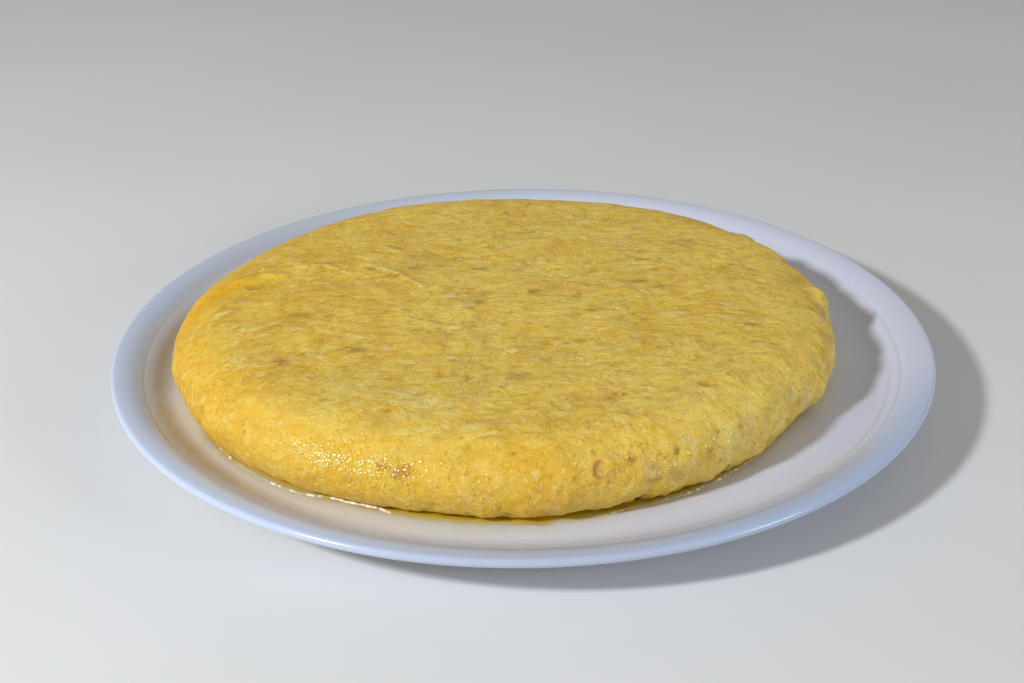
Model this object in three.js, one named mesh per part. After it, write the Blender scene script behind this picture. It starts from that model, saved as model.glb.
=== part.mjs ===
// A Spanish omelette as it is served: one thick round of egg and potato, turned out of its pan
// onto a white, flat, rimmed plate, with the little oil that has run out of it round its foot.
// Millimetres, +Z up. The origin is the middle of the plate's foot ring, on the table.
import * as THREE from "three";

// ---- Driving dimensions: the plate ----
const PLATE_RADIUS = 165;
const PLATE_HEIGHT = 20;
const BODY_THICKNESS = 6; // of the plate's floor
const FOOT_HEIGHT = 7;
const FOOT_RADIUS = 100; // to the middle of the foot ring
const FOOT_WIDTH = 6; // where it stands; the ring widens by a chamfer each side
const FOOT_CHAMFER = 1.2;
const FLOOR_RADIUS = 139; // the flat well ends here
const VERGE_RADIUS = 151.5; // the verge ends here, at a fine step
const VERGE_RISE = 3; // how far the verge climbs
const STEP = 0.8; // the fine step's width
const BAND_RADIUS = 161; // the nearly flat rim band ends here
const BAND_RISE = 3.3;
const EDGE_THICKNESS = 3.4; // of the rolled edge
const UNDER_VERGE_START = 131; // where the underside begins to climb
const UNDER_VERGE_HEIGHT = 12; // how high it is below the fine step

// ---- Driving dimensions: the omelette ----
const OMELETTE_CENTRE = [-6.8, -9.4];
const OMELETTE_RADIUS = 128.7; // mean, at the belly
const OMELETTE_THICKNESS = 27;
const BELLY_SHARE = 0.42; // height of the widest place, as a share of the thickness
const FOOT_INSET = 10.6; // how far the side curls in below the belly
const SHOULDER_INSET = 23.4; // how far the soft shoulder reaches in above it
const FOOT_ANGLE = -75; // degrees below the belly where the side meets the plate

// How the pan's edge and the turning left the outline: [waves round the edge, size, heading].
const EDGE_WAVES = [
  [2, 3.3, 18],
  [3, 0.6, 35],
  [4, 1.1, 18],
  [5, 0.6, -21],
  [6, 0.6, -4],
];
// Single swells and dents of the edge: [heading, half width in degrees, size].
const EDGE_SWELLS = [
  [10, 4, 1.9],
  [-2, 4, -1.7],
  [-17, 5, 1.0],
  [-32, 6, -1.4],
  [-67, 9, -0.8],
  [-102, 8, -1.0],
  [185, 9, -1.3],
  [201, 5, -1.8],
];
// Low folds of the cooked skin on top, as ridges along a line: [line, half width, height].
const FOLDS = [
  [[[-128, -9], [-116, 12], [-89, 28]], 5, 1.3],
  [[[-62, 26], [-37, 0], [-20, -22]], 6, 1.2],
];
const TOP_SWELL = 0.7; // the top's own slow rise and fall, where two waves cross:
const TOP_WAVES = [
  [22, 69],
  [110, 87],
]; // [heading, length from crest to crest]

// ---- Driving dimensions: the oil ----
const OIL_FROM = 211; // headings of the crescent's two tips
const OIL_TO = 338;
const OIL_DEPTH = 1;
const OIL_EDGE_DEPTH = 0.3;
const OIL_REACH = 4.6; // mean width beyond the omelette's foot
const OIL_START = 1; // the pool begins this far out from the foot
const OIL_CREST = 0.45; // where it is deepest, as a share of its width
// Where the pool is wider or narrower: [heading, half width in degrees, size].
const OIL_POOLS = [
  [-100, 30, 0.9],
  [-86, 5, 1.4],
];

const GAP = 0.3; // between things that lie on each other
const PLATE_SIDES = 96;
const OMELETTE_SIDES = 80;
const LOWER_SIDE_BANDS = 4;
const UPPER_SIDE_BANDS = 5;
const TOP_BANDS = 8;
const OIL_SECTIONS = 36;

const TOP_Z = FOOT_HEIGHT + BODY_THICKNESS; // the plate's floor
const BASE_Z = TOP_Z + GAP; // what lies on the floor starts here
const BELLY_Z = BELLY_SHARE * OMELETTE_THICKNESS;

const radians = THREE.MathUtils.degToRad;
const bell = (distance, halfWidth) => Math.exp(-((distance / halfWidth) ** 2));

// ---- Shared helpers ----

// The values that end each of `steps` even steps.
const evenly = (from, to, steps) =>
  Array.from({ length: steps }, (_, i) => from + ((to - from) * (i + 1)) / steps);

// The shortest turn between two headings, in degrees.
function turnBetween(a, b) {
  return ((((a - b) % 360) + 540) % 360) - 180;
}

function sumOfSwells(heading, swells) {
  return swells.reduce(
    (sum, [at, halfWidth, size]) => sum + size * bell(turnBetween(heading, at), halfWidth),
    0,
  );
}

// Points of a round stretch from one place to another: the part of a circle between two angles,
// stretched to fit. Both ends are included.
function arcBetween(from, to, startAngle, endAngle, steps) {
  const at = (angle) => [Math.cos(radians(angle)), Math.sin(radians(angle))];
  const [x0, y0] = at(startAngle);
  const [x1, y1] = at(endAngle);
  return Array.from({ length: steps + 1 }, (_, i) => {
    const [x, y] = at(startAngle + ((endAngle - startAngle) * i) / steps);
    return [
      from[0] + ((to[0] - from[0]) * (x - x0)) / (x1 - x0),
      from[1] + ((to[1] - from[1]) * (y - y0)) / (y1 - y0),
    ];
  });
}

// A closed surface over rings that hold the same number of points. The first and the last ring
// are each gathered into one point. The rings run anticlockwise, seen from the last one.
function loft(rings) {
  const sides = rings[0].length;
  const triangles = [];
  for (let i = 0; i < rings.length - 1; i++) {
    const lower = i * sides;
    const upper = lower + sides;
    for (let j = 0; j < sides; j++) {
      const next = (j + 1) % sides;
      triangles.push(lower + j, lower + next, upper + next);
      triangles.push(lower + j, upper + next, upper + j);
    }
  }
  const geometry = new THREE.BufferGeometry().setFromPoints(rings.flat());
  geometry.setIndex(triangles);
  geometry.computeVertexNormals();
  return geometry;
}

function meshOf(name, geometry, color, roughness) {
  const material = new THREE.MeshStandardMaterial({ color, roughness, metalness: 0 });
  const mesh = new THREE.Mesh(geometry, material);
  mesh.name = name;
  return mesh;
}

// ---- The plate: one turned section ----

function plateSection() {
  const vergeTop = TOP_Z + VERGE_RISE;
  const bandTop = vergeTop + BAND_RISE;
  const edgeMiddle = PLATE_RADIUS - EDGE_THICKNESS / 2;
  const edgeZ = PLATE_HEIGHT - EDGE_THICKNESS / 2;
  const footIn = FOOT_RADIUS - FOOT_WIDTH / 2;
  const footOut = FOOT_RADIUS + FOOT_WIDTH / 2;
  return [
    // The underside, from the middle to the rolled edge.
    [0, FOOT_HEIGHT],
    [footIn - FOOT_CHAMFER, FOOT_HEIGHT],
    [footIn, 0],
    [footOut, 0],
    [footOut + FOOT_CHAMFER, FOOT_HEIGHT],
    ...arcBetween([UNDER_VERGE_START, FOOT_HEIGHT], [VERGE_RADIUS, UNDER_VERGE_HEIGHT], -90, -50, 3),
    // The rolled edge, half a round from below to its crest.
    ...arcBetween([edgeMiddle, PLATE_HEIGHT - EDGE_THICKNESS], [PLATE_RADIUS, edgeZ], -90, 0, 3),
    ...arcBetween([PLATE_RADIUS, edgeZ], [edgeMiddle, PLATE_HEIGHT], 0, 90, 3).slice(1),
    // The rim band, the fine step, the verge and the floor.
    [BAND_RADIUS, bandTop],
    [VERGE_RADIUS + STEP, vergeTop + STEP / 2],
    [VERGE_RADIUS, vergeTop],
    ...arcBetween([VERGE_RADIUS, vergeTop], [FLOOR_RADIUS, TOP_Z], -35, -90, 4).slice(1),
    [0, TOP_Z],
  ].map(([radius, z]) => new THREE.Vector2(radius, z));
}

function plate() {
  const geometry = new THREE.LatheGeometry(plateSection(), PLATE_SIDES);
  geometry.rotateX(Math.PI / 2); // the lathe turns about Y
  return meshOf("plate", geometry, "#e2e3e6", 0.15);
}

// ---- The omelette ----

// How far the belly stands out from the middle, in that heading.
function bellyRadius(heading) {
  const waves = EDGE_WAVES.reduce(
    (sum, [count, size, at]) => sum + size * Math.cos(count * radians(heading - at)),
    0,
  );
  return OMELETTE_RADIUS + waves + sumOfSwells(heading, EDGE_SWELLS);
}

function distanceToLine(x, y, line) {
  const point = new THREE.Vector3(x, y, 0);
  const nearest = new THREE.Vector3();
  const distances = line.slice(1).map((end, i) => {
    const piece = new THREE.Line3(new THREE.Vector3(...line[i], 0), new THREE.Vector3(...end, 0));
    piece.closestPointToPoint(point, true, nearest);
    return nearest.distanceTo(point);
  });
  return Math.min(...distances);
}

// The top's relief over its level, at a place on the plate.
function topRelief(x, y) {
  const folds = FOLDS.reduce(
    (sum, [line, halfWidth, height]) => sum + height * bell(distanceToLine(x, y, line), halfWidth),
    0,
  );
  const swell = TOP_WAVES.reduce((product, [heading, length]) => {
    const along = x * Math.cos(radians(heading)) + y * Math.sin(radians(heading));
    return product * Math.sin((2 * Math.PI * along) / length);
  }, TOP_SWELL);
  return folds + swell;
}

// One ring round the omelette, `z` above its base. `reachOf` turns the belly's radius into the
// ring's own, and `relief` is the share of the top's relief that the ring follows.
function omeletteRing(reachOf, z, relief = 0) {
  return Array.from({ length: OMELETTE_SIDES }, (_, j) => {
    const heading = (360 * j) / OMELETTE_SIDES;
    const reach = reachOf(bellyRadius(heading));
    const x = OMELETTE_CENTRE[0] + reach * Math.cos(radians(heading));
    const y = OMELETTE_CENTRE[1] + reach * Math.sin(radians(heading));
    return new THREE.Vector3(x, y, BASE_Z + z + relief * topRelief(x, y));
  });
}

// How far in from the belly the lower side is, at an angle below it.
const footInsetAt = (angle) => FOOT_INSET * (1 - Math.cos(radians(angle)));

function lowerSideRing(angle) {
  const z = BELLY_Z * (1 + Math.sin(radians(angle)));
  return omeletteRing((belly) => belly - footInsetAt(angle), z);
}

function upperSideRing(angle) {
  const inset = SHOULDER_INSET * (1 - Math.cos(radians(angle)));
  const rise = Math.sin(radians(angle));
  const z = BELLY_Z + (OMELETTE_THICKNESS - BELLY_Z) * rise;
  return omeletteRing((belly) => belly - inset, z, rise ** 2);
}

// Rings over the flat of the top, each at a share of the way out from the middle.
function topRing(share) {
  return omeletteRing((belly) => share * (belly - SHOULDER_INSET), OMELETTE_THICKNESS, 1);
}

function omelette() {
  const rings = [
    omeletteRing(() => 0, 0),
    omeletteRing((belly) => belly - footInsetAt(FOOT_ANGLE), 0),
    ...evenly(FOOT_ANGLE, 0, LOWER_SIDE_BANDS).map(lowerSideRing),
    ...evenly(0, 90, UPPER_SIDE_BANDS).map(upperSideRing),
    ...evenly(1, 0, TOP_BANDS).map(topRing),
  ];
  return meshOf("omelette", loft(rings), "#d9a83c", 0.45);
}

// ---- The oil: a thin crescent round the front of the foot ----

// How far it is from the omelette's middle to the edge of the plate's flat floor.
function reachToFloorEdge(heading) {
  const [x, y] = OMELETTE_CENTRE;
  const along = x * Math.cos(radians(heading)) + y * Math.sin(radians(heading));
  return Math.sqrt(along ** 2 - x ** 2 - y ** 2 + (FLOOR_RADIUS - GAP) ** 2) - along;
}

// One section across the crescent, `share` of the way from tip to tip: up its inner edge, out
// over its crest and back along the floor. At a tip it is a single point.
function oilSection(share) {
  const heading = OIL_FROM + (OIL_TO - OIL_FROM) * share;
  const fullness = Math.sin(Math.PI * share) ** 0.5;
  const inner = bellyRadius(heading) - footInsetAt(FOOT_ANGLE) + OIL_START;
  const width = OIL_REACH - OIL_START + sumOfSwells(heading, OIL_POOLS);
  const outer = Math.min(inner + width * fullness, reachToFloorEdge(heading));
  const at = (across, depth) => {
    const reach = inner + (outer - inner) * across * Math.ceil(fullness);
    return new THREE.Vector3(
      OMELETTE_CENTRE[0] + reach * Math.cos(radians(heading)),
      OMELETTE_CENTRE[1] + reach * Math.sin(radians(heading)),
      BASE_Z + depth * fullness,
    );
  };
  return [at(0, OIL_EDGE_DEPTH), at(OIL_CREST, OIL_DEPTH), at(1, OIL_EDGE_DEPTH), at(1, 0), at(0, 0)];
}

function oil() {
  const sections = Array.from({ length: OIL_SECTIONS + 1 }, (_, i) => oilSection(i / OIL_SECTIONS));
  return meshOf("oil", loft(sections), "#a8862a", 0.08);
}

const omeletteOnItsPlate = new THREE.Group();
omeletteOnItsPlate.add(plate(), omelette(), oil());

export default omeletteOnItsPlate;
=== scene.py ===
# %% [markdown]
# # A Spanish omelette on its plate
#
# The real thing is one thick round of egg and potato, cooked in a pan and turned out onto a
# white plate with a rim. Its top is the face that lay on the pan's floor: soft, yellow, full of
# fine wrinkles. Its side is the part that swelled against the pan's wall: porous, with bubbles.
# A little oil has run out of it and lies round its foot.
#
# A plain solid model fixes every size. We load it first, read the sizes from it, and build each
# visible piece around it, so that nothing has to be fitted by eye.

# %% Load the solid model
import math
import bpy
import numpy as np
from mathutils import Matrix, Vector
from mathutils.bvhtree import BVHTree


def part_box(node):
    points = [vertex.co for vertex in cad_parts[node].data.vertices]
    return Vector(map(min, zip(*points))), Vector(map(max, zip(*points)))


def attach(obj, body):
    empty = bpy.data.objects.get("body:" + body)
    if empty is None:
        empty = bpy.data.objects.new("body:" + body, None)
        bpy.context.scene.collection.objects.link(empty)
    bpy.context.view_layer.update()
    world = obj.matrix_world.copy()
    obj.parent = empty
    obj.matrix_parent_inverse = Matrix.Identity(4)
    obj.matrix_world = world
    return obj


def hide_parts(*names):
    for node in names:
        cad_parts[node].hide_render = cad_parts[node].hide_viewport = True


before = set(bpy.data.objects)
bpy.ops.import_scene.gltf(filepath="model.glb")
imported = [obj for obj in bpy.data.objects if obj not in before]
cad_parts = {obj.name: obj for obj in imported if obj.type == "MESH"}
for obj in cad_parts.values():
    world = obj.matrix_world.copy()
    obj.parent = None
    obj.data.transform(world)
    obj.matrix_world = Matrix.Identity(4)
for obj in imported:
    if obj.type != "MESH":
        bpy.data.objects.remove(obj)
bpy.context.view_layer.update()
MM = 0.001

_, plate_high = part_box("plate")
omelette_low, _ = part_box("omelette")

# %% [markdown]
# ## From arrays to pieces
#
# Every piece here is a skin over a grid of points, so one helper that turns an array of points
# and an array of faces into a smooth object is enough. We work in millimetres, as a cook or a
# potter would, and change to metres in that one place.

# %% Turn points and faces into an object
def add_mesh(name, points, faces, marks=None):
    """A smooth-shaded object from points in mm, lists of corners, and named values per point."""
    mesh = bpy.data.meshes.new(name)
    mesh.from_pydata((points * MM).tolist(), [], faces)
    mesh.update()
    mesh.polygons.foreach_set("use_smooth", [True] * len(mesh.polygons))
    for mark, values in (marks or {}).items():
        kind, field = ("FLOAT_VECTOR", "vector") if values.ndim > 1 else ("FLOAT", "value")
        made = mesh.attributes.new(mark, kind, "POINT")
        made.data.foreach_set(field, values.astype(np.float32).ravel())
    thing = bpy.data.objects.new(name, mesh)
    bpy.context.scene.collection.objects.link(thing)
    return thing


def add_piece(name, points, faces, material, marks=None):
    """A piece of the object: it rides on the one body and takes its finish from a slot."""
    piece = add_mesh(name, points, faces, marks)
    piece.data.materials.append(material)
    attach(piece, "root")
    triangles = sum(len(face.vertices) - 2 for face in piece.data.polygons)
    print(f"{name}: {len(points)} points, {triangles} triangles")
    return piece


def grid_faces(number):
    """The four-cornered faces of a grid of point numbers."""
    corners = [number[:-1, :-1], number[:-1, 1:], number[1:, 1:], number[1:, :-1]]
    return np.stack(corners, -1).reshape(-1, 4)


def band_faces(rows, columns, first=0):
    """The faces between rows of points that close on themselves."""
    number = first + np.arange(rows * columns).reshape(rows, columns)
    return grid_faces(np.column_stack([number, number[:, 0]])).tolist()


# %% [markdown]
# ## Shader maths in plain Python
#
# A material is a graph of nodes, and its arithmetic is tedious to wire by hand. One small class
# wraps an output socket, so that an expression such as `1 - mask * 0.5` adds its own Math nodes.
# Every other kind of node comes from the class's one method, `node`.

# %% A socket that takes part in expressions
def plug(socket, value):
    """Links a wire to a socket, or sets the socket to a constant."""
    if isinstance(value, Wire):
        socket.id_data.links.new(value.socket, socket)
    else:
        socket.default_value = value


def put_stops(stops, wanted):
    """Gives a ramp its stops, each a position and a colour."""
    for _ in range(len(wanted) - len(stops)):
        stops.new(1.0)
    for stop, (position, colour) in zip(stops, wanted):
        stop.position, stop.color = position, colour


class Wire:
    """The output socket of a node. Arithmetic on it adds Math nodes, or Vector Math ones."""

    def __init__(self, socket):
        self.socket = socket

    def node(self, kind, settings=None, inputs=None, output=0):
        """Adds a node of a kind: its settings first, then its sockets' values or links."""
        made = self.socket.id_data.nodes.new(kind)
        for name, value in (settings or {}).items():
            if name == "stops":
                put_stops(made.color_ramp.elements, value)
            else:
                setattr(made, name, value)
        for name, value in (inputs or {}).items():
            plug(made.inputs[name], value)
        return Wire(made.outputs[output])

    def maths(self, operation, *values):
        kind = "ShaderNodeMath"
        if any(isinstance(v, tuple) or getattr(v, "is_vector", False) for v in values):
            kind = "ShaderNodeVectorMath"
            values = [(v,) * 3 if isinstance(v, (int, float)) else v for v in values]
        return self.node(kind, {"operation": operation}, dict(enumerate(values)))

    @property
    def is_vector(self):
        return self.socket.type == "VECTOR"

    def __add__(self, other):
        return self.maths("ADD", self, other)

    def __radd__(self, other):
        return self.maths("ADD", other, self)

    def __sub__(self, other):
        return self.maths("SUBTRACT", self, other)

    def __rsub__(self, other):
        return self.maths("SUBTRACT", other, self)

    def __mul__(self, other):
        return self.maths("MULTIPLY", self, other)

    def __rmul__(self, other):
        return self.maths("MULTIPLY", other, self)

    def __truediv__(self, other):
        return self.maths("DIVIDE", self, other)

    def __rtruediv__(self, other):
        return self.maths("DIVIDE", other, self)

    def __pow__(self, other):
        return self.maths("POWER", self, other)

    def absolute(self):
        return self.maths("ABSOLUTE", self)

    def length(self):
        return self.node("ShaderNodeVectorMath", {"operation": "LENGTH"}, {0: self}, 1)

    def towards(self, way):
        """How far this goes along a direction."""
        return self.node("ShaderNodeVectorMath", {"operation": "DOT_PRODUCT"}, {0: self, 1: way}, 1)

    def between(self, low, high):
        """0 below low, 1 above high, and a smooth climb between."""
        inputs = {"Value": self, "From Min": low, "From Max": high}
        return self.node("ShaderNodeMapRange", {"interpolation_type": "SMOOTHSTEP"}, inputs)

    def mix(self, one, other):
        """Colour one where this is 0, the other where it is 1."""
        return self.node("ShaderNodeMix", {"data_type": "RGBA"}, {0: self, 6: one, 7: other}, 2)

    def blend(self, one, other):
        """Value one where this is 0, the other where it is 1."""
        return self.node("ShaderNodeMix", {"data_type": "FLOAT"}, {0: self, 2: one, 3: other})

    def noise(self, size, detail=2.0, rough=0.5, warp=0.0):
        """Random values about 0.5 at this place, in lumps of a size in mm (or three sizes)."""
        sizes = size if isinstance(size, tuple) else (size,) * 3
        place = self * tuple(1 / (one * MM) for one in sizes)
        inputs = {"Vector": place, "Scale": 1.0, "Detail": detail, "Roughness": rough}
        return self.node("ShaderNodeTexNoise", None, {**inputs, "Distortion": warp})

    def dots(self, size, share, radius=0.42):
        """Round domes in a share of random cells: 1 in the middle of each, 0 at its rim."""
        cells = {"Vector": self * (1 / (size * MM)), "Scale": 1.0}
        far, tint = (self.node("ShaderNodeTexVoronoi", None, cells, n) for n in (0, 1))
        lot = self.node("ShaderNodeSeparateColor", None, {"Color": tint})
        dome = self.maths("MAXIMUM", 1 - (far / radius) ** 2, 0.0)
        return dome * lot.between(0.995 - share, 1.005 - share)


# %% Start a material, and write a colour as a cook would see it
def new_material(name):
    """An empty material with its main shader, and the place on the object to build from."""
    material = bpy.data.materials.new(name)
    material.use_nodes = True
    nodes = material.node_tree.nodes
    place = Wire(nodes.new("ShaderNodeTexCoord").outputs["Object"])
    return material, nodes["Principled BSDF"], place


def mark_of(place, name, output=2):
    """A named value that the mesh carries at each point. Output 1 is its vector."""
    return place.node("ShaderNodeAttribute", {"attribute_name": name}, None, output)


def paint(shader, **finish):
    """Sets or links the main shader's sockets, named with underscores for spaces."""
    for name, value in finish.items():
        plug(shader.inputs[name.replace("_", " ")], value)


def shade(red, green, blue):
    """A colour from screen values of 0 to 255."""
    parts = [value / 255 for value in (red, green, blue)]
    linear = [p / 12.92 if p <= 0.04045 else ((p + 0.055) / 1.055) ** 2.4 for p in parts]
    return (*linear, 1.0)


def layered(look, layers):
    """A colour with layers over it. Each layer is how much of it there is, and its colour."""
    for share, colour in layers:
        look = share.mix(look, colour)
    return look


# %% [markdown]
# ## Random relief that comes out the same each time
#
# Cooked egg is irregular at every size, from the slow sag of the round to bubbles of a
# millimetre. We get that from gradient noise: a random slope at each corner of a lattice, and a
# smooth blend between them. It is computed for all points at once with arrays, from a fixed
# seed, so the mesh is the same on every run.

# %% Gradient noise over arrays of points
class Grain:
    """Smooth random values from about -1 to 1 at places in space."""

    def __init__(self, seed):
        source = np.random.default_rng(seed)
        self.order = source.permutation(256)
        slopes = source.normal(size=(256, 3))
        self.slopes = slopes / np.linalg.norm(slopes, axis=1, keepdims=True)

    def at(self, points, size):
        """The value at each point, in lumps of a size in mm, or of a size along each axis."""
        place = points / np.asarray(size, float)
        cell = np.floor(place).astype(int)
        part = place - cell
        fade = part**3 * (part * (part * 6 - 15) + 10)
        total = np.zeros(len(points))
        for corner in np.ndindex(2, 2, 2):
            x, y, z = ((cell + corner) & 255).T
            pick = self.order[(self.order[(self.order[x] + y) & 255] + z) & 255]
            lean = ((part - corner) * self.slopes[pick]).sum(1)
            total += lean * np.prod(np.where(corner, fade, 1 - fade), axis=1)
        return 1.7 * total


def bell(distance, half_width):
    return np.exp(-((distance / half_width) ** 2))


def climb(value, low, high):
    """0 below low, 1 above high, and a smooth climb between."""
    share = np.clip((value - low) / (high - low), 0, 1)
    return share * share * (3 - 2 * share)


def parts_of(line, points):
    """For each straight part of a line seen from above: its way, how far along it each point
    is (0 to 1), and the gap from it to each point."""
    corners = np.asarray(line, float)
    for start, end in zip(corners[:-1], corners[1:]):
        way = end - start
        place = (points[:, :2] - start) @ way / (way @ way)
        yield way, place, points[:, :2] - start - np.clip(place, 0, 1)[:, None] * way


def distance_to_line(points, line):
    """How far each point is from a line through the given corners, seen from above."""
    return np.min([np.hypot(*gap.T) for _, _, gap in parts_of(line, points)], axis=0)


def ring_places(heading, radius=1):
    """Places on a level ring, at headings in radians."""
    return np.column_stack([np.cos(heading), np.sin(heading), 0 * heading]) * radius


# %% [markdown]
# ## The plate
#
# The plate is turned on a wheel or pressed in a turning mould, so a lathe is its true method:
# one section, swept round the middle. The section has the flat floor, the short sloping verge,
# the fine step that catches the light as a line, the nearly level rim band and the rolled edge.
# Points are set close together wherever the glaze turns sharply, and far apart on the flats.

# %% The plate's section and its lathe
PLATE_RADIUS, PLATE_HEIGHT = plate_high.x / MM, plate_high.z / MM
FLOOR_RADIUS, FLOOR_Z = 139.0, 13.0
VERGE_RADIUS, VERGE_Z = 151.5, 16.0
STEP = 0.8
EDGE_THICKNESS = 3.4
FOOT_IN, FOOT_OUT, FOOT_Z = 97.0, 103.0, 7.0
UNDER_VERGE_START, UNDER_VERGE_Z = 131.0, 12.0
PLATE_SIDES = 384


def arc_between(start, end, from_degrees, to_degrees, steps):
    """Part of a circle between two angles, stretched to join two points of a section."""
    angle = np.radians(np.linspace(from_degrees, to_degrees, steps + 1))
    turn = ring_places(angle)[:, :2]
    share = (turn - turn[0]) / (turn[-1] - turn[0])
    return (start + share * np.subtract(end, start)).tolist()


def plate_section():
    edge_middle = PLATE_RADIUS - EDGE_THICKNESS / 2
    edge_z = PLATE_HEIGHT - EDGE_THICKNESS / 2
    foot = [(1.2, FOOT_Z), (1.0, FOOT_Z - 0.4), (0.3, 0.4), (0.0, 0.0)]
    under = [[FOOT_IN - out, z] for out, z in foot] + [[FOOT_OUT + out, z] for out, z in foot[::-1]]
    under += np.linspace([FOOT_OUT + 2, FOOT_Z], [UNDER_VERGE_START - 1, FOOT_Z], 5).tolist()
    under += arc_between((UNDER_VERGE_START, FOOT_Z), (VERGE_RADIUS, UNDER_VERGE_Z), -90, -50, 10)
    under_edge = (edge_middle, PLATE_HEIGHT - EDGE_THICKNESS)
    under += np.linspace((VERGE_RADIUS, UNDER_VERGE_Z), under_edge, 6)[1:-1].tolist()
    edge = arc_between(under_edge, (PLATE_RADIUS, edge_z), -90, 0, 8)
    edge += arc_between((PLATE_RADIUS, edge_z), (edge_middle, PLATE_HEIGHT), 0, 90, 8)[1:]
    step_top = (VERGE_RADIUS + STEP, VERGE_Z + STEP / 2)
    band = arc_between((edge_middle, PLATE_HEIGHT), step_top, 90, 128, 24)[1:]
    step = [[VERGE_RADIUS + 0.5, VERGE_Z + 0.27], [VERGE_RADIUS + 0.2, VERGE_Z + 0.1]]
    verge = arc_between((VERGE_RADIUS - 0.2, VERGE_Z - 0.06), (FLOOR_RADIUS, FLOOR_Z), -42, -90, 20)
    floor = [[radius, FLOOR_Z] for radius in (136, 130, 120, 105, 85, 60, 30, 5)]
    middle = [[radius, FOOT_Z] for radius in (5, 30, 60, 85)]
    return np.array(middle + under + edge + band + step + verge + floor)


def lathe(section, sides):
    """Sweeps a section of (radius, z) round the middle. Both ends are closed by a flat."""
    turn = np.linspace(0, 2 * np.pi, sides, endpoint=False)
    radius, height = section[:, :1], section[:, 1:]
    rings = [radius * np.cos(turn), radius * np.sin(turn), height + 0 * turn]
    points = np.stack(rings, -1).reshape(-1, 3)
    last = (len(section) - 1) * sides
    ends = [list(range(sides))[::-1], list(range(last, last + sides))]
    return points, band_faces(len(section), sides) + ends


section = plate_section()
plate_points, plate_faces = lathe(section, PLATE_SIDES)
print("plate section:", len(section), "points, across", 2 * PLATE_RADIUS, "mm")

# %% [markdown]
# ### The glaze
#
# Restaurant porcelain is a cool white glaze with a clear shine. In use it picks up a thin film
# of oil at the left, and a faint line is drawn darker along the fine step. Much of the colour is
# painted light too: a bluer painted reflection on the rim, painted shade beside the egg and a
# darker band at the front. We paint these from the distance to the plate's middle, which the
# shader can work out by itself.

# %% Glazed white
# A speck of egg, a smear of oil and a scratch: the place, half the size across and along, how
# strong it is, and its colour.
PLATE_MARKS = [
    (-105.8, -104.0, 0.9, 0.9, 0.6, shade(206, 160, 140)),
    (103.7, -107.0, 4.2, 1.4, 0.5, shade(206, 196, 128)),
    (-50.6, -146.7, 1.8, 0.5, 0.4, shade(150, 152, 160)),
]
# Headings from the plate's middle, in degrees.
LEFT, FRONT, RIGHT_FRONT, RIGHT_BACK = 200, -78, -45, 25


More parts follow.
